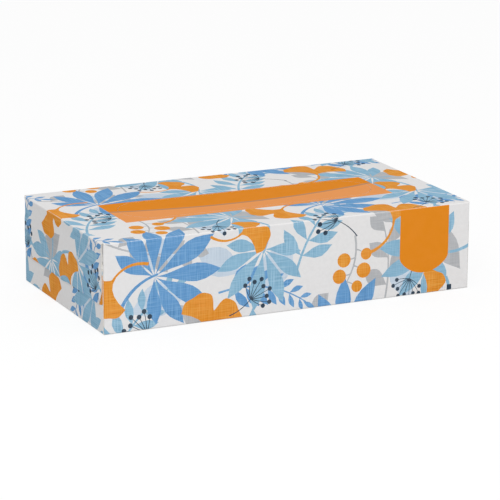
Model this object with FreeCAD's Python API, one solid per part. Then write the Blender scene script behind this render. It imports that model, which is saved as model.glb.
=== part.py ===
# Flat carton of facial tissues, closed and full, as it stands on a shelf.
#
# One blank of folding boxboard is creased into a tube of four panels, top, front,
# bottom and back, which lies along X.  The tube is joined by a glue flap inside the
# back panel.  Each end is shut by flaps folded one over the other and glued: two dust
# flaps, then the bottom flap, then the top flap.  The top panel carries the dotted cut
# line of the long oval that is torn out when the carton is first used.
#
# X runs along the carton, the front panel faces -Y and Z points up.  The origin is at
# the middle of the base.  All sizes are in millimetres.

import FreeCAD, Part
import math
import os

# Driving dimensions of the closed carton
carton_length = 232.0
carton_width = 122.0
carton_height = 52.0

# The board and its creases
board = 0.45
fold_radius = 0.9
seam_clearance = 0.4

# Top flap, the outermost layer at each end
top_flap_drop = 35.4
top_flap_inset = 1.9
top_flap_taper_width = 3.8
top_flap_taper_height = 7.5

# Bottom flap, one board further in
bottom_flap_rise = 47.0
bottom_flap_inset = 1.1
bottom_flap_taper_width = 5.0
bottom_flap_taper_height = 9.0

# Dust flaps, the innermost layer
dust_flap_shoulder = 1.2
dust_flap_taper = 2.0

# Dotted cut line of the tear-out in the top panel
tearout_length = 160.0
tearout_width = 38.0
slit_width = 0.35
slit_depth = 0.4
slit_pitch = 9.0
slit_nick = 1.4

# How far a layer is let into the body behind it, so that the two become one solid
bond_depth = 4.0

# Planes of the layers at an end, measured out from the middle of the carton
top_flap_face = carton_length / 2
bottom_flap_face = top_flap_face - board
dust_flap_face = bottom_flap_face - board
dust_flap_back = dust_flap_face - board
layers_back = dust_flap_back - bond_depth

# The bottom panel is one board narrower than the top, because its glue flap turns up
# inside the back panel
half_width = carton_width / 2
seam_crease = half_width - board
seam_height = fold_radius + seam_clearance


def rounded_wire(corners, place):
    """Closed outline through corners of (u, v, radius), mapped into space by place."""
    count = len(corners)
    points = [FreeCAD.Vector(u, v, 0) for u, v, radius in corners]
    starts = []
    middles = []
    ends = []
    for index in range(count):
        here = points[index]
        to_last = (points[index - 1] - here).normalize()
        to_next = (points[(index + 1) % count] - here).normalize()
        radius = corners[index][2]
        if radius <= 0:
            starts.append(here)
            middles.append(None)
            ends.append(here)
            continue
        half_angle = to_last.getAngle(to_next) / 2
        reach = radius / math.tan(half_angle)
        bisector = (to_last + to_next).normalize()
        starts.append(here + to_last * reach)
        middles.append(here + bisector * (radius / math.sin(half_angle) - radius))
        ends.append(here + to_next * reach)
    edges = []
    for index in range(count):
        start = place(starts[index].x, starts[index].y)
        end = place(ends[index].x, ends[index].y)
        if middles[index] is not None:
            middle = place(middles[index].x, middles[index].y)
            edges.append(Part.Arc(start, middle, end).toShape())
        following = starts[(index + 1) % count]
        edges.append(Part.LineSegment(end, place(following.x, following.y)).toShape())
    return Part.Wire(edges)


def across_end(x):
    """Mapping of (y, z) into the plane at x."""
    return lambda y, z: FreeCAD.Vector(x, y, z)


def along_side(y):
    """Mapping of (x, z) into the plane at y."""
    return lambda x, z: FreeCAD.Vector(x, y, z)


def seen_from_above(z):
    """Mapping of (x, y) into the plane at z."""
    return lambda x, y: FreeCAD.Vector(x, y, z)


def prism(corners, place, sweep):
    """Solid swept from a rounded outline."""
    return Part.Face(rounded_wire(corners, place)).extrude(sweep)


def panel_tube():
    """The four panels, up to the plane where the dust flaps begin.

    The glue flap is part of the bottom panel.  It turns up inside the back panel,
    whose cut edge ends just above the last crease, so the seam is a step one board
    deep along the lower back edge.
    """
    section = [
        (-half_width, 0, fold_radius),
        (-half_width, carton_height, fold_radius),
        (half_width, carton_height, fold_radius),
        (half_width, seam_height, 0),
        (seam_crease, seam_height, 0),
        (seam_crease, 0, fold_radius),
    ]
    sweep = FreeCAD.Vector(2 * dust_flap_back, 0, 0)
    return prism(section, across_end(-dust_flap_back), sweep)


def dust_flaps():
    """The pair at the +X end, folded in from the front and back panels.

    Seen from above, each turns through its crease and meets the other in the middle.
    Its upper and lower edges start a shoulder inside the panel and taper away.
    """
    plan = [
        (layers_back, -half_width, 0),
        (dust_flap_face, -half_width, fold_radius),
        (dust_flap_face, half_width, fold_radius),
        (layers_back, half_width, 0),
    ]
    front_low = dust_flap_shoulder
    back_low = seam_height + dust_flap_shoulder
    high = carton_height - dust_flap_shoulder
    outline = [
        (-half_width, front_low, 0),
        (-half_width, high, 0),
        (0, high - dust_flap_taper, 0),
        (half_width, high, 0),
        (half_width, back_low, 0),
        (0, back_low + dust_flap_taper, 0),
    ]
    folded = prism(plan, seen_from_above(0), FreeCAD.Vector(0, 0, carton_height))
    sweep = FreeCAD.Vector(dust_flap_face - layers_back, 0, 0)
    return folded.common(prism(outline, across_end(layers_back), sweep))


def bottom_flap():
    """The flap at the +X end that turns up from the bottom panel over the dust flaps."""
    side = [
        (layers_back, 0, 0),
        (bottom_flap_face, 0, fold_radius),
        (bottom_flap_face, bottom_flap_rise, 0),
        (dust_flap_back, bottom_flap_rise, 0),
        (dust_flap_back, board, 0),
        (layers_back, board, 0),
    ]
    front = -half_width + bottom_flap_inset
    back = seam_crease - bottom_flap_inset
    taper_foot = bottom_flap_rise - bottom_flap_taper_height
    outline = [
        (front, 0, 0),
        (front, taper_foot, 0),
        (front + bottom_flap_taper_width, bottom_flap_rise, 0),
        (back - bottom_flap_taper_width, bottom_flap_rise, 0),
        (back, taper_foot, 0),
        (back, 0, 0),
    ]
    folded = prism(side, along_side(-half_width), FreeCAD.Vector(0, carton_width, 0))
    sweep = FreeCAD.Vector(bottom_flap_face - layers_back, 0, 0)
    return folded.common(prism(outline, across_end(layers_back), sweep))


def top_flap():
    """The flap at the +X end that turns down from the top panel over everything else.

    Behind its crease the hollow above the bottom flap is closed, as it is by the glue.
    """
    free_edge = carton_height - top_flap_drop
    closed_above = bottom_flap_rise - bottom_flap_taper_height
    side = [
        (layers_back, carton_height, 0),
        (top_flap_face, carton_height, fold_radius),
        (top_flap_face, free_edge, 0),
        (bottom_flap_face, free_edge, 0),
        (bottom_flap_face, closed_above, 0),
        (dust_flap_back, closed_above, 0),
        (dust_flap_back, carton_height - board, 0),
        (layers_back, carton_height - board, 0),
    ]
    half_flap = half_width - top_flap_inset
    taper_head = free_edge + top_flap_taper_height
    outline = [
        (-half_flap, carton_height, 0),
        (-half_flap, taper_head, 0),
        (-half_flap + top_flap_taper_width, free_edge, 0),
        (half_flap - top_flap_taper_width, free_edge, 0),
        (half_flap, taper_head, 0),
        (half_flap, carton_height, 0),
    ]
    folded = prism(side, along_side(-half_width), FreeCAD.Vector(0, carton_width, 0))
    sweep = FreeCAD.Vector(top_flap_face - layers_back, 0, 0)
    return folded.common(prism(outline, across_end(layers_back), sweep))


def end_closure():
    """The three glued layers at the +X end."""
    return [dust_flaps(), bottom_flap(), top_flap()]


def oval(length, width, depth):
    """Long oval prism with round ends, sunk to a depth below the top panel's face."""
    straight = (length - width) / 2
    side = width / 2
    place = seen_from_above(carton_height - depth)
    front = Part.LineSegment(place(-straight, -side), place(straight, -side))
    right = Part.Arc(place(straight, -side), place(length / 2, 0), place(straight, side))
    back = Part.LineSegment(place(straight, side), place(-straight, side))
    left = Part.Arc(place(-straight, side), place(-length / 2, 0), place(-straight, -side))
    outline = Part.Wire([edge.toShape() for edge in (front, right, back, left)])
    return Part.Face(outline).extrude(FreeCAD.Vector(0, 0, depth))


def tearout_line():
    """The slits of the tear-out: one groove round the oval, broken by uncut nicks."""
    groove = oval(tearout_length, tearout_width, slit_depth).cut(
        oval(tearout_length - 2 * slit_width, tearout_width - 2 * slit_width, slit_depth)
    )
    end_radius = tearout_width / 2 - slit_width / 2
    straight = tearout_length - tearout_width
    path_length = 2 * straight + 2 * math.pi * end_radius
    count = round(path_length / slit_pitch)
    nicks = []
    for index in range(count):
        distance = (index + 0.5) * path_length / count
        nicks.append(nick_block(distance, straight, end_radius))
    return groove.cut(Part.makeCompound(nicks))


def nick_block(distance, straight, end_radius):
    """Block over one nick, at a distance along the middle of the groove."""
    half_turn = math.pi * end_radius
    if distance < straight:
        x = distance - straight / 2
        y = -end_radius
        heading = 0.0
    elif distance < straight + half_turn:
        heading = (distance - straight) / end_radius
        x = straight / 2 + end_radius * math.sin(heading)
        y = -end_radius * math.cos(heading)
    elif distance < 2 * straight + half_turn:
        x = straight / 2 - (distance - straight - half_turn)
        y = end_radius
        heading = math.pi
    else:
        heading = math.pi + (distance - 2 * straight - half_turn) / end_radius
        x = -straight / 2 + end_radius * math.sin(heading)
        y = -end_radius * math.cos(heading)
    breadth = 4 * slit_width
    block = Part.makeBox(slit_nick, breadth, 3 * slit_depth)
    block.translate(FreeCAD.Vector(-slit_nick / 2, -breadth / 2, -1.5 * slit_depth))
    block.rotate(FreeCAD.Vector(0, 0, 0), FreeCAD.Vector(0, 0, 1), math.degrees(heading))
    block.translate(FreeCAD.Vector(x, y, carton_height - slit_depth / 2))
    return block


def carton():
    """The whole closed carton with its contents, as one solid."""
    middle = FreeCAD.Vector(0, 0, 0)
    along = FreeCAD.Vector(1, 0, 0)
    layers = end_closure()
    far_layers = [layer.mirror(middle, along) for layer in layers]
    body = panel_tube().multiFuse(layers + far_layers)
    return body.cut(tearout_line()).removeSplitter()


os.makedirs("parts", exist_ok=True)
shape = carton()
print("solids", len(shape.Solids), "volume", round(shape.Volume), "box", shape.BoundBox)
shape.exportStep("parts/carton.step")
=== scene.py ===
"""A closed carton of facial tissues, folded from one printed blank of board.

The blank is drawn flat, in millimetres: U runs along the carton and V round it.  Its
print is cut into the sheet as fields of ink, and the sheet is then folded round its
creases into the panels and the glued flaps of the closed carton.
"""

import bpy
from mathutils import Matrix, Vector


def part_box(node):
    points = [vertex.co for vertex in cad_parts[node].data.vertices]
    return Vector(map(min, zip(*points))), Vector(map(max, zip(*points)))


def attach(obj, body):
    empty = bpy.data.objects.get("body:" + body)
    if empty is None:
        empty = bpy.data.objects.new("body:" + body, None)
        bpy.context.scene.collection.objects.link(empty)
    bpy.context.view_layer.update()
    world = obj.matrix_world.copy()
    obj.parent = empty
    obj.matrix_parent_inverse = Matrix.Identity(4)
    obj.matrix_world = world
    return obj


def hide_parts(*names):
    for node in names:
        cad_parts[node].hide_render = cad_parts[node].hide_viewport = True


bl_info = {
    "name": "Printed Tissue Carton",
    "version": (1, 0, 0),
    "blender": (4, 5, 0),
    "location": "3D View > Sidebar > Carton",
    "description": "Folds a printed blank of board into a closed carton of tissues",
    "category": "Add Mesh",
}

import cmath
import math
from dataclasses import dataclass

import bpy
from bpy.props import FloatProperty, FloatVectorProperty, PointerProperty
from mathutils import Matrix, Vector, noise
from mathutils.geometry import delaunay_2d_cdt

MM = 0.001
PIECE = "printed_carton"
NODE = "carton"
BODY = "root"

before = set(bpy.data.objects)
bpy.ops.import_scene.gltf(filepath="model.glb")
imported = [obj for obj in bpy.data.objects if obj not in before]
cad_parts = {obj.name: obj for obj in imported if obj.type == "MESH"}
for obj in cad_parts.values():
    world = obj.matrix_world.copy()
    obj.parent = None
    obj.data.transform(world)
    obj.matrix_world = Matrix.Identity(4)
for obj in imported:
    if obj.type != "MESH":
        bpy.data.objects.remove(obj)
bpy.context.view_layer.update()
NODE_LOW, NODE_HIGH = (Vector(corner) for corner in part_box(NODE))


def display_colour(red, green, blue):
    """Linear colour of a screen colour given in 0 to 255."""
    def linear(value):
        share = value / 255
        return share / 12.92 if share <= 0.04045 else ((share + 0.055) / 1.055) ** 2.4
    return tuple(linear(value) for value in (red, green, blue))


def length_setting(label, description, millimetres):
    return FloatProperty(
        name=label, description=description, default=millimetres * MM, min=0.0,
        unit="LENGTH", precision=5,
    )


def angle_setting(label, description, degrees):
    return FloatProperty(
        name=label, description=description, default=math.radians(degrees),
        subtype="ANGLE",
    )


def colour_setting(label, description, red, green, blue):
    return FloatVectorProperty(
        name=label, description=description, subtype="COLOR", size=3, min=0.0, max=1.0,
        default=display_colour(red, green, blue),
    )


class CartonSizes(bpy.types.PropertyGroup):
    """Sizes of the folded board."""

    board: length_setting("Board", "Thickness of the board", 0.45)
    fold_radius: length_setting("Fold radius", "Outside radius of a crease", 0.9)
    seam_clearance: length_setting("Seam", "Back panel's edge above the last crease", 0.4)
    glue_flap: length_setting("Glue flap", "Depth of the glue flap in the back panel", 12.0)
    top_drop: length_setting("Top flap", "Length of each top flap", 35.4)
    top_inset: length_setting("Top flap inset", "Top flap's edge from the panel's", 1.9)
    top_taper_width: length_setting("Top taper width", "Width of a corner cut", 3.8)
    top_taper_height: length_setting("Top taper height", "Height of a corner cut", 7.5)
    bottom_rise: length_setting("Bottom flap", "Length of each bottom flap", 47.0)
    bottom_inset: length_setting("Bottom flap inset", "Its edge from the panel's", 1.1)
    bottom_taper_width: length_setting("Bottom taper width", "Width of a corner cut", 5.0)
    bottom_taper_height: length_setting("Bottom taper height", "Height of a corner cut", 9.0)
    dust_shoulder: length_setting("Dust flap shoulder", "Its edge from the panel's", 0.5)
    dust_taper: length_setting("Dust flap taper", "Narrowing to the free edge", 2.0)
    tearout_length: length_setting("Tear-out length", "Length of the tear-out", 160.0)
    tearout_width: length_setting("Tear-out width", "Width of the tear-out", 38.0)
    slit_width: length_setting("Slit width", "Width of one slit", 0.18)
    slit_pitch: length_setting("Slit pitch", "Spacing of the slits", 9.0)
    slit_nick: length_setting("Nick", "Uncut board between two slits", 1.4)
    bow: length_setting("Bow", "How far a panel sinks in at its middle", 0.3)
    ripple: length_setting("Ripple", "Depth of the panels' unevenness", 0.06)
    spring: length_setting("Spring", "How far a glued top flap stands off at its edge", 0.12)


class PrintSizes(bpy.types.PropertyGroup):
    """Sizes of the printed pattern."""

    repeat_wide: length_setting("Repeat width", "Width of the pattern's repeat", 118.0)
    repeat_high: length_setting("Repeat height", "Height of the pattern's repeat", 104.0)
    thread: length_setting("Thread", "Width of one drawn thread in the inks", 0.42)
    bleed: length_setting("Bleed", "How far the pattern runs round to the base", 9.0)


class PrintInks(bpy.types.PropertyGroup):
    """Colours of the board and the inks."""

    paper: colour_setting("Paper", "Coated white of the board", 225, 224, 224)
    orange: colour_setting("Orange", "Pattern orange", 223, 140, 43)
    blue: colour_setting("Blue", "Pattern mid blue", 95, 149, 200)
    sky: colour_setting("Sky", "Pattern light blue", 132, 177, 204)
    grey: colour_setting("Grey", "Pattern grey", 177, 179, 182)
    lilac: colour_setting("Lilac", "Pattern pale blue-violet", 194, 208, 222)
    navy: colour_setting("Navy", "Pattern dark blue", 50, 66, 82)
    band: colour_setting("Band", "Flat orange of the band and the tab", 223, 135, 32)
    salmon: colour_setting("Salmon", "Flat paler orange of the band", 230, 152, 88)
    rule: colour_setting("Rule", "Line between the band's two colours", 187, 137, 98)
    core: colour_setting("Board core", "Cut edge of the board", 222, 218, 211)
    inside: colour_setting("Board inside", "Uncoated inner side of the board", 208, 204, 196)


class StudioSettings(bpy.types.PropertyGroup):
    """Light and camera."""

    sky_strength: FloatProperty(
        name="Fill", description="Strength of the even light", default=0.735, min=0.0
    )
    key_power: FloatProperty(
        name="Key", description="Power of the large lamp over the front", default=15.4,
        min=0.0, unit="POWER",
    )
    azimuth: angle_setting("Azimuth", "Camera's turn about Z", -25.573)
    elevation: angle_setting("Elevation", "Camera's height above the horizon", 15.224)
    roll: angle_setting("Roll", "Camera's turn about its own axis", 0.331)
    place: FloatVectorProperty(
        name="Camera", description="Camera's place", subtype="TRANSLATION", size=3,
        default=(-0.62748, -1.31648, 0.4176), unit="LENGTH",
    )
    lens: FloatProperty(
        name="Lens", description="Focal length for a 36 mm sensor", default=185.22,
        min=1.0, unit="CAMERA",
    )


class InMillimetres:
    """The lengths of a property group, in millimetres."""

    def __init__(self, settings):
        self.settings = settings

    def __getattr__(self, name):
        return getattr(self.settings, name) / MM


# Folding

class Fold:
    """A path of square corners, each rounded as a crease, that a sheet is bent along.

    Places are complex numbers.  side is 1 where the sheet's printed face is to the
    left of the path and -1 where it is to the right.
    """

    def __init__(self, corners, radius, side, start=0.0):
        self.radius = radius
        self.starts = [start]
        self.corners = corners
        self.headings = []
        self.faces = []
        for first, second in zip(corners, corners[1:]):
            heading = (second - first) / abs(second - first)
            self.headings.append(heading)
            self.faces.append(side * 1j * heading)
            self.starts.append(self.starts[-1] + abs(second - first))

    def creases(self):
        return self.starts[1:-1]

    def at(self, distance, depth=0.0):
        """Place and outward direction at a distance, at a depth in the board."""
        for index, crease in enumerate(self.creases()):
            if abs(distance - crease) < self.radius:
                before, after = self.faces[index], self.faces[index + 1]
                centre = self.corners[index + 1] - self.radius * (before + after)
                swing = (1 + (distance - crease) / self.radius) * math.pi / 4
                outward = before * math.cos(swing) + after * math.sin(swing)
                return centre + (self.radius - depth) * outward, outward
        index = sum(distance > crease for crease in self.creases())
        along = self.corners[index] + (distance - self.starts[index]) * self.headings[index]
        return along - depth * self.faces[index], self.faces[index]


# Of the folded sheet, in millimetres: the slot between a flap and the corner beside it,
# the run over which a top flap is pressed down past the bottom flap's edge, and the step
# for the panels' slope
FLAP_SLOT = 0.12
PRESS_RUN = 1.6
SLOPE_STEP = 0.5

# Of the board's thickness: how far a top flap is pressed down, and how deep the inner
# side lies, so that glued layers don't share a plane
PRESS_DEPTH = 0.94
SHEET_DEPTH = 0.96

# Wavelengths of the panels' unevenness in millimetres, and their shares
UNEVENNESS = ((37, 1.0), (14, 0.5))

# Distances in millimetres below which two places are the same: on the blank, and where
# the print's outlines cross
TOUCHING = 1e-6
SAME_PLACE = 1e-3


@dataclass
class Flap:
    """One end flap: its stretch of V, the path it is bent along and its cut outline."""

    low: float
    high: float
    fold: Fold
    stands: bool
    outline: list


class Blank:
    """The flat blank and how it is folded, in millimetres."""

    def __init__(self, sizes):
        self.board = sizes.board
        self.radius = sizes.fold_radius
        self.half_length = (NODE_HIGH.x - NODE_LOW.x) / MM / 2
        self.half_width = (NODE_HIGH.y - NODE_LOW.y) / MM / 2
        self.height = (NODE_HIGH.z - NODE_LOW.z) / MM
        self.sizes = sizes
        self.tube_end = self.half_length - 2 * self.board - self.radius

        # V is 0 at the crease of the front and the base
        self.front_top = self.height
        self.back_top = self.front_top + 2 * self.half_width
        self.seam_height = self.radius + sizes.seam_clearance
        self.back_end = self.back_top + self.height - self.seam_height
        self.seam_crease = -(2 * self.half_width - self.board)
        self.glue_end = self.seam_crease - self.seam_height - sizes.glue_flap
        self.under_high = sizes.bottom_rise
        self.under_wide = self.half_width - self.board / 2 - sizes.bottom_inset
        self.under_middle = -self.board / 2
        self.girth = self.make_girth()
        self.flaps = self.make_flaps()

    def make_girth(self):
        """The path round the tube, from the glue flap's edge to the back panel's."""
        wide, high = self.half_width, self.height
        seam = wide - self.board
        places = (
            (seam, self.seam_crease - self.glue_end), (seam, 0), (-wide, 0),
            (-wide, high), (wide, high), (wide, 0),
        )
        return Fold([complex(*place) for place in places], self.radius, 1, self.glue_end)

    def make_flaps(self):
        """The flaps of one end, in the order of V: bottom, front dust, top, back dust.

        Each row gives the panel that a flap hangs on, its inset, its layer from the
        outside, the level that it starts at and the one that it turns towards, and its
        length and corner cuts.
        """
        sizes, wide, height = self.sizes, self.half_width, self.height
        dust_cut = wide - self.board, sizes.dust_taper, wide - self.board
        low_cut = sizes.bottom_rise, sizes.bottom_taper_width, sizes.bottom_taper_height
        top_cut = sizes.top_drop, sizes.top_taper_width, sizes.top_taper_height
        flaps = []
        for start, end, inset, layer, level, foot, cut in (
            (self.seam_crease, 0, sizes.bottom_inset, 1, 0, height, low_cut),
            (0, self.front_top, sizes.dust_shoulder, 2, -wide, 0, dust_cut),
            (self.front_top, self.back_top, sizes.top_inset, 0, height, 0, top_cut),
            (self.back_top, self.back_end, sizes.dust_shoulder, 2, wide, 0, dust_cut),
        ):
            low, high = start + inset, end - inset
            face = self.half_length - layer * self.board
            path = [complex(0, level), complex(face, level), complex(face, foot)]
            fold = Fold(path, self.radius, 1 if level > 0 else -1)
            outline = tapered(low, high, face + cut[0], *cut[1:])
            flaps.append(Flap(low, high, fold, layer < 2, outline))
        return flaps

    def outline(self):
        """The blank's cut edge, anticlockwise from the glue flap."""
        end = self.tube_end
        corner = end + self.radius
        right = [
            complex(end - 3 * self.radius, self.glue_end),
            complex(corner, self.seam_crease - self.radius),
        ]
        for flap in self.flaps:
            low, high = flap.low - FLAP_SLOT, flap.high + FLAP_SLOT
            right += [complex(corner, low), complex(end, low), complex(end, flap.low)]
            right += flap.outline
            right += [complex(end, flap.high), complex(end, high), complex(corner, high)]
        right.append(complex(corner, self.back_end))
        return right + [complex(-point.real, point.imag) for point in reversed(right)]

    def flap_at(self, u, v):
        """The flap that a place of the sheet is on, if it is on one."""
        if abs(u) <= self.tube_end + TOUCHING:
            return None
        margin = FLAP_SLOT / 2
        for flap in self.flaps:
            if flap.low - margin < v < flap.high + margin:
                return flap
        return None

    def place(self, u, v, depth=0.0):
        """Where a point of the sheet lies once folded, and its outward direction."""
        end = 1 if u > 0 else -1
        flap = self.flap_at(u, v)
        if flap is None:
            at, out = self.girth.at(v, depth)
            point, outward = Vector((u, at.real, at.imag)), Vector((0, out.real, out.imag))
        else:
            at, out = flap.fold.at(abs(u), depth)
            across, _ = self.girth.at(v)
            if flap.stands:
                point = Vector((end * at.real, across.real, at.imag))
                outward = Vector((end * out.real, 0, out.imag))
            else:
                point = Vector((end * at.real, at.imag, across.imag))
                outward = Vector((end * out.real, out.imag, 0))
            point += outward * self.stand_off(flap, abs(u), point)
        slope = self.slope_of_slack(point)
        outward_bow = outward - (slope - slope.dot(outward) * outward)
        return point + outward * self.slack(point), outward_bow.normalized()

    def stand_off(self, flap, along, point):
        """How far the outermost flap lies off its glued plane.

        It springs away a little towards its free edge.  Where the bottom flap doesn't
        reach, it is pressed down onto the dust flaps.
        """
        if flap is not self.flaps[2]:
            return 0.0
        reach = (along - self.half_length) / self.sizes.top_drop
        spring = self.sizes.spring * max(0.0, reach) ** 4
        past_end = (point.z - self.under_high) / PRESS_RUN
        off_middle = abs(point.y - self.under_middle)
        past_side = (off_middle - self.under_half(point.z)) / PRESS_RUN
        below_crease = (self.height - self.radius - point.z) / 2
        pressed = smooth(max(past_end, past_side)) * smooth(below_crease)
        return spring - PRESS_DEPTH * self.board * pressed

    def under_half(self, height):
        """Half width of the bottom flap at a height."""
        sizes = self.sizes
        cut = (height - self.under_high) / sizes.bottom_taper_height + 1
        return self.under_wide - max(0.0, cut) * sizes.bottom_taper_width

    def under_edges(self, margin):
        """The bottom flap's outline as it lies behind the top flap, on the blank."""
        foot = self.under_high - self.sizes.bottom_taper_height
        outline = []
        for side, height in ((-1, foot), (-1, self.under_high), (1, self.under_high), (1, foot)):
            rise = margin if height == self.under_high else 0
            y = self.under_middle + side * (self.under_half(height) + margin - rise / 2)
            u = self.half_length + self.height - height - rise
            outline.append(complex(u, self.front_top + self.half_width + y))
        return outline

    def slack(self, point):
        """Offset of the panels along their outward direction: bow and unevenness."""
        x = 1 - (point.x / self.half_length) ** 2
        y = 1 - (point.y / self.half_width) ** 2
        z = 1 - (2 * point.z / self.height - 1) ** 2
        panel = max(0.0, x * y + y * z + z * x)
        uneven = sum(share * noise.noise(point / wave) for wave, share in UNEVENNESS)
        return -self.sizes.bow * panel + self.sizes.ripple * uneven * min(1, 4 * panel)

    def slope_of_slack(self, point):
        here = self.slack(point)
        moves = (SLOPE_STEP * axis for axis in Matrix.Identity(3))
        return Vector([(self.slack(point + move) - here) / SLOPE_STEP for move in moves])


def smooth(share):
    """0 below 0, 1 above 1 and an even curve between them."""
    share = min(1.0, max(0.0, share))
    return share * share * (3 - 2 * share)


def tapered(low, high, reach, taper_width, taper_height):
    """A flap's free edge, from its low side to its high side, with its corners cut."""
    return [
        complex(reach - taper_height, low),
        complex(reach, low + taper_width),
        complex(reach, high - taper_width),
        complex(reach - taper_height, high),
    ]


# The print's motifs.  Each is a list of an ink and a closed outline of complex places,
# and is drawn about 1 long, so its sizes are shares of its length
LEAF_POINT = 1.2
STALK_THINNING = 0.45


def turn(degrees):
    return cmath.rect(1, math.radians(degrees))


def placed(shapes, at, angle=0.0, size=1.0):
    move = size * turn(angle)
    return [(ink, [at + move * point for point in outline]) for ink, outline in shapes]


def bowed(t, bow):
    """Place at share t of a spine from 0 to 1 that bows sideways."""
    return t + 4j * bow * t * (1 - t)


def spaced(count, low=-1.0, span=2.0):
    """Even steps from low to low + span."""
    return [low + span * index / (count - 1) for index in range(count)]


def leaf(ink, length, width, bend=0.0, fullest=0.5, steps=12):
    """Leaf from 0 along U.  bend bows its midline, fullest is where it is widest."""
    skew = math.log(0.5) / math.log(fullest)
    spine = []
    for step in range(steps + 1):
        along = 0.5 - 0.5 * math.cos(math.pi * step / steps)
        half = width / 2 * math.sin(math.pi * along ** skew) ** LEAF_POINT
        spine.append((length * bowed(along, bend), 1j * half))
    upper = [middle + side for middle, side in spine]
    return [(ink, upper + [middle - side for middle, side in spine[-2:0:-1]])]


def stalk(ink, start, end, bow, thick, steps=8):
    """Thin stalk that bows sideways and thins towards its end."""
    left = []
    right = []
    chord = end - start
    for t in spaced(steps + 1, 0, 1):
        middle = start + chord * bowed(t, bow)
        heading = chord * (1 + 4j * bow * (1 - 2 * t))
        side = 1j * heading / abs(heading) * thick / 2 * (1 - STALK_THINNING * t)
        left.append(middle + side)
        right.append(middle - side)
    return [(ink, left + right[::-1])]


def dot(ink, centre, radius, corners=12):
    return [(ink, [centre + radius * turn(360 * k / corners) for k in range(corners)])]


def fan_palm(ink, blades, spread):
    """Palm leaf of radius 1: blades that fan out from one stalk."""
    shapes = stalk(ink, -0.62 - 0.1j, 0.06, 0.12, 0.055)
    for share in spaced(blades):
        length = 1 - 0.34 * share * share
        width = 0.27 - 0.055 * abs(share)
        shapes += placed(leaf(ink, length, width, 0.035 * share, 0.62), 0, spread * share)
    return shapes


def ginkgo(ink, notch=0.42, half=66, steps=44):
    """Two-lobed fan leaf of radius 1 on a bent stalk, open by half to each side."""
    edge = []
    for share in spaced(steps + 1):
        dip = notch * math.exp(-((half * share / 7) ** 2))
        droop = 0.16 * share ** 4
        ripple = 0.018 * math.cos(math.radians(half * share) * 14)
        edge.append((1 - dip - droop + ripple) * turn(half * share))
    side = []
    for step in range(5):
        t = step / 5
        side.append(edge[-1] * t * t + 2 * t * (1 - t) * 0.42 * turn(10))
    outline = [point.conjugate() for point in side] + edge + side[:0:-1]
    return stalk(ink, -0.78 + 0.34j, 0.16, -0.17, 0.08) + [(ink, outline)]


def frond(ink, pairs=7, bow=0.11):
    """Bowed spray of length 1 with paired leaflets that shorten to its tip."""
    shapes = stalk(ink, 0, 1, bow, 0.022, 12)
    for t in spaced(pairs, 0.16, 0.76):
        heading = math.degrees(math.atan(4 * bow * (1 - 2 * t)))
        length = 0.33 * (1 - 0.62 * t) * min(1, 0.62 + 2 * t)
        for side in (-1, 1):
            leaflet = leaf(ink, length, 0.36 * length, 0.05 * side, 0.55, 7)
            shapes += placed(leaflet, bowed(t, bow), heading + side * (58 - 16 * t))
    return shapes + placed(leaf(ink, 0.17, 0.055, 0, 0.5, 7), 0.97, -22)


def sprig(ink, leaves=7):
    """Thin stem of length 1 with round leaves to both sides and one at its tip."""
    shapes = stalk(ink, 0, 1, -0.08, 0.022, 10)
    for index, t in enumerate(spaced(leaves, 0.14, 0.86)):
        side = (-0.2, 1, -1)[0 if index == leaves - 1 else 1 + index % 2]
        fade = 1 - 0.35 * t
        one = leaf(ink, 0.34 * fade, 0.19 * fade, 0, 0.56)
        shapes += placed(one, bowed(t, -0.08), side * (54 - 20 * t))
    return shapes


def seed_head(ink, rays=9, spread=72):
    """Fine rays of up to 1 from one stalk, each with a seed at its end."""
    shapes = stalk(ink, -1.2 + 0.18j, 0, -0.07, 0.05, 6)
    for ray, share in enumerate(spaced(rays)):
        reach = (1 - 0.14 * share * share) * (1 if ray % 2 else 0.8)
        end = reach * turn(spread * share)
        shapes += stalk(ink, 0, end, 0.05 * share, 0.04, 4) + dot(ink, end, 0.105, 10)
    return shapes


def berries(ink, stem_ink, count=5):
    """Round berries to both sides of a stem of length 1."""
    shapes = stalk(stem_ink, 0, 1, 0.1, 0.05, 6)
    for index in range(count):
        spine = bowed(0.3 + 0.18 * index, 0.1)
        side = -1 if index % 2 else 1
        shapes += stalk(stem_ink, spine, spine + side * 0.2j + 0.06, 0.05, 0.035, 3)
        radius = 0.13 + 0.04 * math.sin(math.pi * index / (count - 1))
        shapes += dot(ink, spine + side * 0.26j + 0.08, radius, 16)
    return shapes


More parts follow.
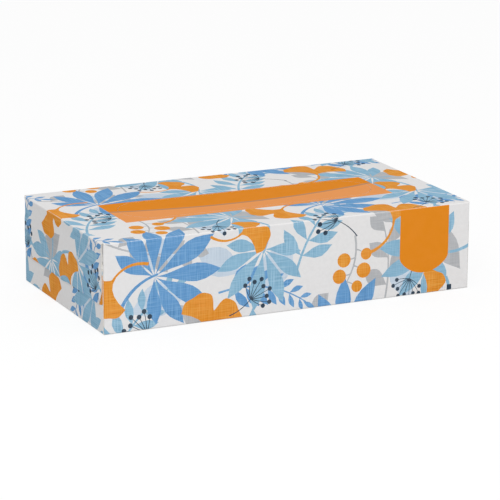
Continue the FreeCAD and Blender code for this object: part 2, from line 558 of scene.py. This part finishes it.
def repeat():
    """One repeat of the pattern in millimetres, from the back to the front."""
    return [
        placed(leaf("lilac", 40, 20, 0.08, 0.55), 100 + 58j, 62),
        placed(leaf("lilac", 36, 18, -0.06, 0.5), 52 + 96j, 190),
        placed(leaf("lilac", 34, 17, 0.05, 0.5), 64 + 28j, -70),
        placed(leaf("lilac", 38, 20, 0.05, 0.5), 18 + 62j, 15),
        placed(leaf("lilac", 32, 17, 0.0, 0.5), 86 + 78j, 150),
        placed(leaf("grey", 36, 16, 0.06, 0.5), 110 + 12j, 118),
        placed(leaf("grey", 32, 15, -0.05, 0.5), 48 + 64j, -35),
        placed(sprig("grey"), 60 + 0j, 96, 56),
        placed(sprig("grey"), 4 + 104j, -10, 52),
        placed(frond("sky"), 2 + 20j, 52, 72),
        placed(frond("blue"), 72 + 68j, -12, 56),
        placed(fan_palm("sky", 9, 112), 92 + 26j, 172, 38),
        placed(fan_palm("blue", 9, 118), 33 + 82j, 30, 42),
        placed(fan_palm("sky", 7, 92), 100 + 90j, -100, 36),
        placed(ginkgo("orange"), 64 + 44j, 70, 25),
        placed(ginkgo("orange"), 10 + 84j, -140, 24),
        placed(ginkgo("orange"), 84 + 100j, 20, 20),
        placed(berries("orange", "grey"), 40 + 40j, -100, 27),
        placed(seed_head("navy"), 28 + 50j, 150, 14),
        placed(seed_head("navy"), 92 + 62j, 40, 13),
        placed(seed_head("navy"), 76 + 10j, 250, 12),
    ]


def extent(outline):
    """Lowest and highest corner of the box round an outline."""
    across = [point.real for point in outline]
    along = [point.imag for point in outline]
    return complex(min(across), min(along)), complex(max(across), max(along))


def below(first, second):
    return first.real < second.real and first.imag < second.imag


def shows(outline, sheet, plain, edge, walls):
    """Whether an outline is on the sheet, and neither wholly on the plain base nor hidden.

    What starts past the edge beside a wall is on a dust flap, which no one sees.
    """
    low, high = extent(outline)
    if not (below(low, sheet[1]) and below(sheet[0], high)):
        return False
    if below(plain[0], low) and below(high, plain[1]):
        return False
    beside = any(foot < low.imag and high.imag < head for foot, head in walls)
    return not (abs(outline[0].real) > edge and beside)


def pattern(blank, sizes):
    """The repeat over the whole blank, every second column dropped by half of it."""
    wide, tall, bleed = sizes.repeat_wide, sizes.repeat_high, sizes.bleed
    low, high = extent(blank.outline())
    plain = (complex(-blank.half_length + bleed, blank.seam_crease + bleed),
             complex(blank.half_length - bleed, -bleed))
    edge = blank.half_length + bleed
    walls = ((0, blank.front_top), (blank.back_top, high.imag))
    kept = []
    for motif in repeat():
        for column in range(math.floor(low.real / wide) - 1, math.ceil(high.real / wide) + 1):
            for row in range(math.floor(low.imag / tall) - 2, math.ceil(high.imag / tall) + 1):
                drop = tall / 2 if column % 2 else 0
                shapes = placed(motif, complex(column * wide, row * tall + drop))
                kept += [(ink, outline) for ink, outline in shapes
                         if shows(outline, (low, high), plain, edge, walls)]
    kept.append(("paper", rectangle(*plain)))
    return kept


def rectangle(low, high):
    return [low, complex(high.real, low.imag), high, complex(low.real, high.imag)]


# The plain fields of the print, in millimetres: the band from the middle of the top, the
# tab and the mark from the front's lower crease.  TAB_TURN is in degrees
BAND_LOW = complex(-85.7, -22.9)
BAND_HIGH = complex(84.7, 20.4)
ARC_LOWEST = complex(-4.5, -7.8)
ARC_RISE = 0.00145
ARC_STEPS = 24
RULE_WIDTH = 2.4
TAB_LEFT = 69.35
TAB_RIGHT = 101.35
TAB_FOOT = 12.8
TAB_RADIUS = 19.0
TAB_CORNER = 6.0
TAB_TURN = 5.0
MARK_LOW = complex(101.0, 0.2)
MARK_HIGH = complex(104.1, 3.6)
SLIT_STEPS = 4


def band(blank):
    """Band along the top: a paler front part that meets the rest in a shallow arc."""
    middle = (blank.front_top + blank.back_top) / 2 * 1j
    span = BAND_HIGH.real - BAND_LOW.real
    arc = []
    for step in range(ARC_STEPS + 1):
        u = BAND_LOW.real + span * step / ARC_STEPS
        sag = ARC_LOWEST.imag + ARC_RISE * (u - ARC_LOWEST.real) ** 2
        arc.append(middle + complex(u, sag))
    corners = rectangle(middle + BAND_LOW, middle + BAND_HIGH)
    rule = [point + RULE_WIDTH * 1j for point in arc]
    return [
        ("band", arc + corners[2:]),
        ("salmon", corners[:2] + arc[::-1]),
        ("rule", arc + rule[::-1]),
    ]


def tab(blank):
    """Tab with a round foot that hangs from the front's upper crease."""
    def arc(middle, radius, start, end):
        steps = math.ceil((end - start) / TAB_TURN)
        return [middle + radius * turn(start + (end - start) * step / steps)
                for step in range(steps)]

    centre = complex((TAB_LEFT + TAB_RIGHT) / 2, TAB_FOOT + TAB_RADIUS)
    inset = TAB_RADIUS - TAB_CORNER
    swing = math.degrees(math.acos((TAB_RIGHT - centre.real - TAB_CORNER) / inset))
    left, right = (centre + inset * turn(angle) for angle in (swing - 180, -swing))
    foot = arc(left, TAB_CORNER, -180, swing - 180) + arc(centre, TAB_RADIUS, swing - 180, -swing)
    foot += arc(right, TAB_CORNER, -swing, 0) + [complex(TAB_RIGHT, right.imag)]
    head = [complex(TAB_RIGHT, blank.front_top), complex(TAB_LEFT, blank.front_top)]
    return [("band", foot + head)]


def register_mark():
    """Small dark square of the printer's, low on the front panel."""
    return [("navy", rectangle(MARK_LOW, MARK_HIGH))]


def slits(blank):
    """The dotted cut line of the tear-out, as outlines of its slits."""
    sizes = blank.sizes
    half_width = sizes.tearout_width / 2
    straight = sizes.tearout_length - 2 * half_width
    radius = half_width - sizes.slit_width / 2
    turn_length = math.pi * radius
    length = 2 * (straight + turn_length)
    count = round(length / sizes.slit_pitch)
    pitch = length / count
    middle = (blank.front_top + blank.back_top) / 2 * 1j

    def along(distance, offset):
        half, rest = divmod(distance % length, straight + turn_length)
        swing = max(0.0, rest - straight) / radius
        spot = complex(min(rest, straight) - straight / 2, 0)
        spot += -1j * (radius + offset) * cmath.exp(1j * swing)
        return middle + (spot if half < 1 else -spot)

    half = sizes.slit_width / 2
    outlines = []
    for index in range(count):
        start = index * pitch + sizes.slit_nick / 2
        reach = pitch - sizes.slit_nick
        stops = [start + reach * step / SLIT_STEPS for step in range(SLIT_STEPS + 1)]
        outlines.append([along(stop, half) for stop in stops]
                        + [along(stop, -half) for stop in reversed(stops)])
    return outlines


# Mesh of the folded blank: the facets of a crease, the spacing in millimetres of the loose
# points that let the printed side and the inner side bow, and the share of it by which
# they are moved off the creases
CREASE_FACETS = 6
PRINTED_GRID = 8.0
INNER_GRID = 16.0
GRID_SHIFT = 0.3


def enclosed(outline):
    """Area inside an outline, negative where it runs clockwise."""
    return sum((here.conjugate() * following).imag
               for here, following in zip(outline, outline[1:] + outline[:1])) / 2


class Drawing:
    """Points, lines and closed outlines that a triangulation of the sheet keeps."""

    def __init__(self):
        self.points = []
        self.lines = []
        self.outlines = []

    def add_points(self, places):
        """Adds points and returns their numbers."""
        first = len(self.points)
        self.points += [Vector((place.real, place.imag)) for place in places]
        return list(range(first, len(self.points)))

    def add_outline(self, outline):
        """Adds a closed outline, turned anticlockwise, and returns its number."""
        numbers = self.add_points(outline)
        self.outlines.append(numbers if enclosed(outline) > 0 else numbers[::-1])
        return len(self.outlines) - 1

    def add_line(self, start, end):
        self.lines.append(self.add_points((start, end)))


def add_creases(drawing, blank):
    """Lines that let the sheet bend smoothly through its creases."""
    low, high = extent(blank.outline())
    offsets = [blank.radius * (2 * k / CREASE_FACETS - 1) for k in range(CREASE_FACETS + 1)]
    for crease in blank.girth.creases():
        for v in (crease + offset for offset in offsets):
            drawing.add_line(complex(low.real - 1, v), complex(high.real + 1, v))
    for flap in blank.flaps:
        for crease in flap.fold.creases():
            for offset in offsets:
                for u in (-crease - offset, crease + offset):
                    drawing.add_line(complex(u, flap.low), complex(u, flap.high))


def add_press_lines(drawing, blank):
    """Lines on the top flaps along which they are pressed down round the bottom flaps."""
    for margin in (0.0, PRESS_RUN / 2, PRESS_RUN):
        outline = blank.under_edges(margin)
        for start, finish in zip(outline, outline[1:]):
            drawing.add_line(start, finish)
            drawing.add_line(-start.conjugate(), -finish.conjugate())


def add_grid(drawing, box, spacing):
    """Loose points, every second row moved along by half their spacing."""
    low, high = box
    for column in range(math.ceil((high.real - low.real) / spacing)):
        for row in range(math.ceil((high.imag - low.imag) / spacing)):
            stagger = spacing / 2 if row % 2 else 0
            u = (column + GRID_SHIFT) * spacing + low.real + stagger
            drawing.add_points([complex(u, low.imag + (row + 0.5) * spacing)])


def bent_triangles(drawing, blank, spacing, sheet, cuts):
    """The sheet cut into triangles that can bend, without what is cut out of it.

    Returns the points, the triangles, the outlines round each triangle, and the number
    that each point of the drawing now has.
    """
    add_creases(drawing, blank)
    add_press_lines(drawing, blank)
    add_grid(drawing, extent(blank.outline()), spacing)
    points, _, faces, origins, _, owners = delaunay_2d_cdt(
        drawing.points, drawing.lines, drawing.outlines, 0, SAME_PLACE
    )
    kept = [(face, owner) for face, owner in zip(faces, owners)
            if sheet in owner and not cuts.intersection(owner)]
    numbers = {}
    for face, _ in kept:
        for index in face:
            numbers.setdefault(index, len(numbers))
    renumbered = {source: numbers[index] for index in numbers for source in origins[index]}
    return ([points[index] for index in numbers],
            [[numbers[index] for index in face] for face, _ in kept],
            [owner for _, owner in kept], renumbered)


def printed_face(blank, shapes):
    """The printed side, flat: points, triangles and the ink of each triangle."""
    drawing = Drawing()
    sheet = drawing.add_outline(blank.outline())
    cuts = {drawing.add_outline(outline) for outline in slits(blank)}
    inks = {sheet: "paper"}
    for ink, outline in shapes:
        inks[drawing.add_outline(outline)] = ink
    points, faces, owners, _ = bent_triangles(drawing, blank, PRINTED_GRID, sheet, cuts)
    return points, faces, [inks[max(owner)] for owner in owners]


def rim_of(faces):
    """Edges that only one triangle has, in that triangle's direction."""
    edges = {(a, b) for face in faces for a, b in zip(face, face[1:] + face[:1])}
    return [(a, b) for a, b in edges if (b, a) not in edges]


def loops_of(rim):
    """Chains of points that directed edges form."""
    following = dict(rim)
    loops = []
    while following:
        loop = [next(iter(following))]
        while following.get(loop[-1]) is not None:
            loop.append(following.pop(loop[-1]))
        loops.append(loop[:-1])
    return loops


def plain_face(blank, points, rim):
    """The inner side, flat, with few triangles but the same points along its rim."""
    drawing = Drawing()
    loops = loops_of(rim)
    outlines = [drawing.add_outline([complex(*points[index]) for index in loop])
                for loop in loops]
    sheet = max(outlines, key=lambda number: len(drawing.outlines[number]))
    cuts = set(outlines) - {sheet}
    inner, faces, _, numbers = bent_triangles(drawing, blank, INNER_GRID, sheet, cuts)
    rim_points = [index for loop in loops for index in loop]
    return inner, faces, {index: numbers[spot] for spot, index in enumerate(rim_points)}


def fold_sheet(blank, shapes, materials):
    """The folded sheet as one closed mesh, with a material for each ink."""
    points, faces, inks = printed_face(blank, shapes)
    rim = rim_of(faces)
    inner, inner_faces, of_rim = plain_face(blank, points, rim)
    first_inner = len(points)
    vertices = []
    outward = []
    for sheet, depth in ((points, 0.0), (inner, SHEET_DEPTH * blank.board)):
        for point in sheet:
            at, out = blank.place(point.x, point.y, depth)
            vertices.append(at * MM)
            outward.append(out)
    polygons = faces + [[first_inner + index for index in reversed(face)] for face in inner_faces]
    rim_start = len(polygons)
    polygons += [(b, a, first_inner + of_rim[a], first_inner + of_rim[b]) for a, b in rim]
    mesh = bpy.data.meshes.new(PIECE)
    mesh.from_pydata(vertices, [], polygons)
    names = list(materials)
    for material in materials.values():
        mesh.materials.append(material)
    slots = [names.index(ink) for ink in inks]
    slots += [names.index("inside")] * len(inner_faces) + [names.index("core")] * len(rim)
    mesh.polygons.foreach_set("material_index", slots)
    add_blank_map(mesh, points, inner, blank, names)
    add_normals(mesh, outward, first_inner, rim_start)
    return mesh


def add_normals(mesh, outward, first_inner, rim_start):
    """Each side of the sheet shades as the bent surface, and the cut edge as facets."""
    normals = []
    for polygon in mesh.polygons:
        for vertex in polygon.vertices:
            if polygon.index >= rim_start:
                normals.append(polygon.normal)
            else:
                normals.append(outward[vertex] * (1 if vertex < first_inner else -1))
    mesh.polygons.foreach_set("use_smooth", [True] * len(mesh.polygons))
    mesh.normals_split_custom_set(normals)


# The map of the flat blank.  The inner side and the cut edges are small copies in the
# free places beside a top flap, and the inner rim of the cut edges is smaller still, so
# that they have some breadth.
MAP_NAME = "OFBake"
MAP_SIZE = 364.0
SPARE_SHARE = 0.058
LINING_SHARE = 0.95
SPARE_PLACES = {"inside": (164.2, 85.0), "core": (164.2, 140.0)}


def add_blank_map(mesh, points, inner, blank, names):
    """Map of the flat blank, so that a finish can follow the board's own directions."""
    layer = mesh.uv_layers.new(name=MAP_NAME)
    everywhere = list(points) + list(inner)
    middle = Vector((0, (blank.glue_end + blank.back_end) / 2))
    spare_places = {names.index(ink): Vector(place) for ink, place in SPARE_PLACES.items()}
    for polygon in mesh.polygons:
        spare = spare_places.get(polygon.material_index)
        for loop, vertex in zip(polygon.loop_indices, polygon.vertices):
            at = everywhere[vertex] - middle
            if spare is not None:
                lining = vertex >= len(points) and len(polygon.vertices) == 4
                at = spare - middle + at * SPARE_SHARE * (LINING_SHARE if lining else 1)
            layer.data[loop].uv = at / MAP_SIZE + Vector((0.5, 0.5))


# Finishes.  Scales of noise are per millimetre.  MOTTLE is the stretch of a noise that
# makes soft patches, and RELIEF the depth of the board's fibre in millimetres
MOTTLE = (0.3, 0.7)
COAT_ROUGHNESS = 0.35
RELIEF = 0.05

# Drawn threads: the scale along them, the middle of their noise, where they are palest and
# darkest, and how far each ink shows them
THREAD_STRETCH = 0.06
THREAD_MIDDLE = 0.46
THREAD_PALE = 0.72
THREAD_DARK = 0.26
THREAD_CONTRAST = {
    "orange": 0.6, "blue": 0.6, "sky": 0.6, "grey": 0.4, "lilac": 0.4, "navy": 0.3,
}

# Bare board where the print is cracked off: the millimetres from a crease or a corner over
# which it fades in, and the greatest share that is bare
CREASE_WEAR = (0.62, 0.34)
CREASE_BARE = 0.62
CORNER_WEAR = (2.1, 0.9)
CORNER_BARE = 0.85


class Value:
    """A shader socket that Python's arithmetic adds Math nodes to."""

    def __init__(self, shading, socket):
        self.shading = shading
        self.socket = socket

    def math(self, operation, *others):
        values = {index: other for index, other in enumerate((self,) + others)}
        return self.shading.node("ShaderNodeMath", {"operation": operation}, values)

    def __add__(self, other):
        return self.math("ADD", other)

    def __sub__(self, other):
        return self.math("SUBTRACT", other)

    def __mul__(self, other):
        return self.math("MULTIPLY", other)

    def __rsub__(self, other):
        return self.shading.node("ShaderNodeMath", {"operation": "SUBTRACT"}, {0: other, 1: self})

    __radd__ = __add__
    __rmul__ = __mul__

    def lower_of(self, other):
        return self.math("MINIMUM", other)

    def higher_of(self, other):
        return self.math("MAXIMUM", other)

    def size(self):
        return self.math("ABSOLUTE")


class Shading:
    """The nodes of a material or of the world."""

    def __init__(self, owner):
        owner.use_nodes = True
        self.tree = owner.node_tree

    def connect(self, value, socket):
        if isinstance(value, Value):
            self.tree.links.new(value.socket, socket)
        else:
            socket.default_value = value

    def node(self, kind, settings=None, values=None, output=0):
        """Adds a node with its settings, then the values or links of its sockets."""
        node = self.tree.nodes.new(kind)
        for setting, choice in (settings or {}).items():
            setattr(node, setting, choice)
        for socket, value in (values or {}).items():
            self.connect(value, node.inputs[socket])
        return Value(self, node.outputs[output])

    def outputs_of(self, value):
        """All outputs of the node that a value comes from."""
        return [Value(self, socket) for socket in value.socket.node.outputs]

    def seen_directly(self):
        """1 for what the camera sees, also in a gloss or through glass, 0 for light."""
        camera, glossy, through = (
            self.node("ShaderNodeLightPath", output="Is " + ray + " Ray")
            for ray in ("Camera", "Glossy", "Transmission")
        )
        return camera.higher_of(glossy).higher_of(through)


class Finish(Shading):
    """A material and the nodes that its values come from."""

    def __init__(self, name, gloss, coat=0.0):
        self.material = bpy.data.materials.new(name)
        super().__init__(self.material)
        self.surface = self.tree.nodes["Principled BSDF"]
        self.surface.inputs["Specular IOR Level"].default_value = gloss
        self.surface.inputs["Coat Weight"].default_value = coat
        self.surface.inputs["Coat Roughness"].default_value = COAT_ROUGHNESS

    def set(self, socket, value):
        self.connect(value, self.surface.inputs[socket])

    def mix(self, share, first, second):
        """Colour between two colours."""
        values = {0: share, 6: first, 7: second}
        return self.node("ShaderNodeMix", {"data_type": "RGBA"}, values, 2)

    def ramp(self, value, low, high, to_low=0.0, to_high=1.0):
        """value brought smoothly from low and high to to_low and to_high."""
        return self.node(
            "ShaderNodeMapRange", {"interpolation_type": "SMOOTHSTEP"},
            {0: value, 1: low, 2: high, 3: to_low, 4: to_high},
        )

    def scaled(self, place, factors):
        values = {0: place, 1: factors}
        return self.node("ShaderNodeVectorMath", {"operation": "MULTIPLY"}, values)

    def noise(self, scale, detail, place=None):
        return self.node(
            "ShaderNodeTexNoise", None,
            {"Vector": place or self.millimetres(), "Scale": scale, "Detail": detail},
        )

    def mottle(self, scale, detail):
        """Soft patches from 0 to 1."""
        return self.ramp(self.noise(scale, detail), *MOTTLE)

    def millimetres(self):
        """Place on the carton in millimetres."""
        return self.scaled(self.node("ShaderNodeTexCoord", output=3), (1 / MM,) * 3)

    def on_blank(self, u_share, v_share):
        """Place on the flat blank in millimetres, with each direction scaled."""
        place = self.node("ShaderNodeUVMap", {"uv_map": MAP_NAME})
        return self.scaled(place, (MAP_SIZE * u_share, MAP_SIZE * v_share, 0))


def edge_distances(finish, blank):
    """Distances to the nearest crease and to the nearest corner, in millimetres."""
    x, y, z = finish.outputs_of(
        finish.node("ShaderNodeSeparateXYZ", None, {0: finish.millimetres()})
    )
    in_x = blank.half_length - x.size()
    in_y = blank.half_width - y.size()
    in_z = blank.height / 2 - (z - blank.height / 2).size()
    least = in_x.lower_of(in_y).lower_of(in_z)
    most = in_x.higher_of(in_y).higher_of(in_z)
    return in_x + in_y + in_z - least - most, most


def wear(finish, blank):
    """Share of the print that is cracked off: fine along creases, more at corners."""
    crease, corner = edge_distances(finish, blank)
    crumbs = finish.noise(2.6, 3.0)
    patches = finish.noise(0.11, 1.0)
    line = finish.ramp(crease + 0.55 * crumbs - 0.3 * patches, *CREASE_WEAR)
    tip = finish.ramp(corner + 1.6 * crumbs, *CORNER_WEAR)
    return (line * CREASE_BARE).higher_of(tip * CORNER_BARE)


def threads(finish, thread):
    """Linen threads drawn both ways in the inks: pale ones, and dark ones between."""
    fine = 1 / thread
    warp = finish.noise(1.0, 1.5, finish.on_blank(fine, THREAD_STRETCH))
    weft = finish.noise(1.0, 1.5, finish.on_blank(THREAD_STRETCH, fine))
    patch = finish.noise(1.0, 1.0, finish.on_blank(0.05, 0.05))
    depth = finish.ramp(patch, 0.25, 0.7, 0.45, 1.0)

    def drawn(limit):
        across = finish.ramp(warp, THREAD_MIDDLE, limit)
        return ((across + finish.ramp(weft, THREAD_MIDDLE, limit)) * depth).lower_of(1.0)

    return drawn(THREAD_PALE), drawn(THREAD_DARK)


def fibre_bump(finish, relief, strength=0.12):
    """Fine fibre of the coated board, with a relief of its own added."""
    height = finish.noise(2.4, 3.0) * 0.5 + finish.noise(0.35, 1.0) * 0.8 + relief
    return finish.node(
        "ShaderNodeBump", None,
        {"Strength": strength, "Distance": RELIEF * MM, "Height": height},
    )


def lighter(colour, share):
    return tuple(value + (1 - value) * share for value in colour) + (1.0,)


def darker(colour, share):
    return tuple(value * (1 - share) for value in colour) + (1.0,)


def paler(colour, power):
    """The same hue with less ink: a power below 1 raises the low channels most."""
    return tuple(value ** power for value in colour) + (1.0,)


def dressed(finish, colour, roughness, normal):
    """The finish's material, with its surface set."""
    finish.set("Base Color", colour)
    finish.set("Roughness", roughness)
    finish.set("Normal", normal)
    return finish.material


def printed(finish, inks, blank, ink, roughness, normal):
    """The finish's material, with its ink cracked off along the creases."""
    worn = wear(finish, blank)
    cracked = finish.mix(worn, ink, lighter(inks.paper, 0.1))
    return dressed(finish, cracked, roughness + 0.25 * worn, normal)


def paper_finish(inks, blank):
    """Clay-coated white board, unprinted."""
    finish = Finish("coated_paper", 0.04, 0.05)
    tone = finish.mottle(0.5, 4.0)
    colour = finish.mix(tone, darker(inks.paper, 0.025), lighter(inks.paper, 0.03))
    worn = wear(finish, blank)
    scuffed = finish.mix(worn * 0.5, colour, lighter(inks.core, 0.2))
    return dressed(finish, scuffed, 0.47 + 0.08 * tone + 0.2 * worn, fibre_bump(finish, 0.0))


def pattern_finish(ink, inks, blank, thread):
    """Pattern ink with its drawn threads."""
    finish = Finish(ink + "_ink", 0.0, 0.05)
    colour = getattr(inks, ink)
    contrast = THREAD_CONTRAST[ink]
    pale, dark = threads(finish, thread)
    solid = finish.mix(finish.mottle(0.09, 3.0), darker(colour, 0.05), lighter(colour, 0.02))
    woven = finish.mix(dark * contrast, solid, darker(colour, 0.3))
    woven = finish.mix(pale * contrast, woven, paler(colour, 0.6))
    bump = fibre_bump(finish, 0.25 * pale)
    return printed(finish, inks, blank, woven, 0.42 + 0.07 * pale, bump)


def solid_finish(ink, inks, blank):
    """Flat ink of the band and the tab, without threads and a little glossier."""
    finish = Finish(ink + "_ink", 0.0, 0.05)
    colour = getattr(inks, ink)
    density = finish.mottle(0.16, 4.0)
    solid = finish.mix(density, darker(colour, 0.014), lighter(colour, 0.004))
    bump = fibre_bump(finish, 0.0, 0.1)
    return printed(finish, inks, blank, solid, 0.36 + 0.05 * density, bump)


def raw_board_finish(name, colour):
    """Uncoated board: the cut edge and the inner side."""
    finish = Finish(name, 0.1)
    fibres = finish.noise(2.2, 5.0)
    tone = finish.ramp(fibres, *MOTTLE)
    mixed = finish.mix(tone, darker(colour, 0.14), lighter(colour, 0.12))
    return dressed(finish, mixed, 0.8 + 0.12 * tone, fibre_bump(finish, fibres, 0.3))


def carton_finishes(inks, blank, thread):
    """The carton's materials by the name of their ink."""
    finishes = {"paper": paper_finish(inks, blank)}
    for ink in THREAD_CONTRAST:
        finishes[ink] = pattern_finish(ink, inks, blank, thread)
    for ink in ("band", "salmon", "rule"):
        finishes[ink] = solid_finish(ink, inks, blank)
    finishes["core"] = raw_board_finish("board_edge", inks.core)
    finishes["inside"] = raw_board_finish("board_inside", inks.inside)
    return finishes


# Operators

def linked(scene, name, data):
    """A new object of the scene."""
    thing = bpy.data.objects.new(name, data)
    scene.collection.objects.link(thing)
    return thing


class CARTON_OT_fold_carton(bpy.types.Operator):
    """Folds the printed blank into the closed carton"""

    bl_idname = "carton.fold_carton"
    bl_label = "Fold Carton"

    def execute(self, context):
        scene = context.scene
        blank = Blank(InMillimetres(scene.carton_sizes))
        print_sizes = InMillimetres(scene.carton_print)
        shapes = pattern(blank, print_sizes) + band(blank) + tab(blank) + register_mark()
        materials = carton_finishes(scene.carton_inks, blank, print_sizes.thread)
        carton = linked(scene, PIECE, fold_sheet(blank, shapes, materials))
        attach(carton, BODY)
        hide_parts(NODE)
        return {"FINISHED"}


# The stage, in metres, with the camera's sensor in millimetres.  The floor lights the
# carton as the grey and is seen as white, for the most part by its own glow
WHITE = (1.0, 1.0, 1.0, 1.0)
FLOOR_GREY = (0.6, 0.6, 0.6, 1.0)
FLOOR_GLOW = 0.85
FLOOR_ROUGHNESS = 0.95
FLOOR_SIZE = 8.0
FLOOR_GAP = 0.0002
KEY_PLACE = Vector((-0.5, -1.4, 1.12))
KEY_SIZE = 1.1
SENSOR_WIDTH = 36.0


def floor_material():
    """White floor that the camera sees as plain white, apart from soft shadow."""
    finish = Finish("studio_floor", 0.5)
    seen = finish.seen_directly()
    finish.set("Base Color", finish.mix(seen, FLOOR_GREY, WHITE))
    finish.set("Roughness", FLOOR_ROUGHNESS)
    matt = Value(finish, finish.surface.outputs[0])
    glow = finish.node("ShaderNodeEmission", None, {"Color": WHITE, "Strength": 1.0})
    shown = finish.node("ShaderNodeMixShader", None, {0: FLOOR_GLOW * seen, 1: matt, 2: glow})
    finish.connect(shown, finish.tree.nodes["Material Output"].inputs["Surface"])
    return finish.material


def add_floor(scene):
    half = FLOOR_SIZE / 2
    mesh = bpy.data.meshes.new("floor")
    corners = [(-half, -half, 0), (half, -half, 0), (half, half, 0), (-half, half, 0)]
    mesh.from_pydata(corners, [], [(0, 1, 2, 3)])
    mesh.materials.append(floor_material())
    floor = linked(scene, "floor", mesh)
    floor.location.z = -FLOOR_GAP


def add_light(scene, fill, power):
    """Even light from all round, seen as white, and one large lamp over the front."""
    scene.world = bpy.data.worlds.new("studio")
    sky = Shading(scene.world)
    background = sky.tree.nodes["Background"]
    background.inputs["Color"].default_value = WHITE
    sky.connect(fill + (1.0 - fill) * sky.seen_directly(), background.inputs["Strength"])
    lamp = bpy.data.lights.new("key", "AREA")
    lamp.size = KEY_SIZE
    lamp.energy = power
    key = linked(scene, "key", lamp)
    key.location = KEY_PLACE
    key.rotation_euler = KEY_PLACE.to_track_quat("Z", "Y").to_euler()


def add_camera(scene, studio):
    camera = bpy.data.cameras.new("camera")
    camera.lens = studio.lens
    camera.sensor_width = SENSOR_WIDTH
    scene.camera = linked(scene, "camera", camera)
    scene.camera.matrix_world = (
        Matrix.Translation(Vector(studio.place))
        @ Matrix.Rotation(studio.azimuth, 4, "Z")
        @ Matrix.Rotation(math.pi / 2 - studio.elevation, 4, "X")
        @ Matrix.Rotation(studio.roll, 4, "Z")
    )


class CARTON_OT_set_stage(bpy.types.Operator):
    """Adds the floor, the light and the camera"""

    bl_idname = "carton.set_stage"
    bl_label = "Set Stage"

    def execute(self, context):
        scene = context.scene
        studio = scene.carton_studio
        add_floor(scene)
        add_light(scene, studio.sky_strength, studio.key_power)
        add_camera(scene, studio)
        scene.view_settings.view_transform = "Standard"
        return {"FINISHED"}


class CARTON_PT_panel(bpy.types.Panel):
    """The carton's steps and settings"""

    bl_label = "Carton"
    bl_idname = "CARTON_PT_panel"
    bl_space_type = "VIEW_3D"
    bl_region_type = "UI"
    bl_category = "Carton"

    def draw(self, context):
        layout = self.layout
        layout.operator(CARTON_OT_fold_carton.bl_idname)
        layout.operator(CARTON_OT_set_stage.bl_idname)
        for name in GROUPS:
            group = getattr(context.scene, name)
            box = layout.box()
            for setting in group.bl_rna.properties:
                if setting.identifier not in ("rna_type", "name"):
                    box.prop(group, setting.identifier)


GROUPS = {
    "carton_sizes": CartonSizes,
    "carton_print": PrintSizes,
    "carton_inks": PrintInks,
    "carton_studio": StudioSettings,
}
CLASSES = (*GROUPS.values(), CARTON_OT_fold_carton, CARTON_OT_set_stage, CARTON_PT_panel)


def register():
    for item in CLASSES:
        bpy.utils.register_class(item)
    for name, group in GROUPS.items():
        setattr(bpy.types.Scene, name, PointerProperty(type=group))


def unregister():
    for name in GROUPS:
        delattr(bpy.types.Scene, name)
    for item in reversed(CLASSES):
        bpy.utils.unregister_class(item)


def main():
    register()
    bpy.ops.carton.fold_carton()
    bpy.ops.carton.set_stage()


if __name__ == "__main__":
    main()
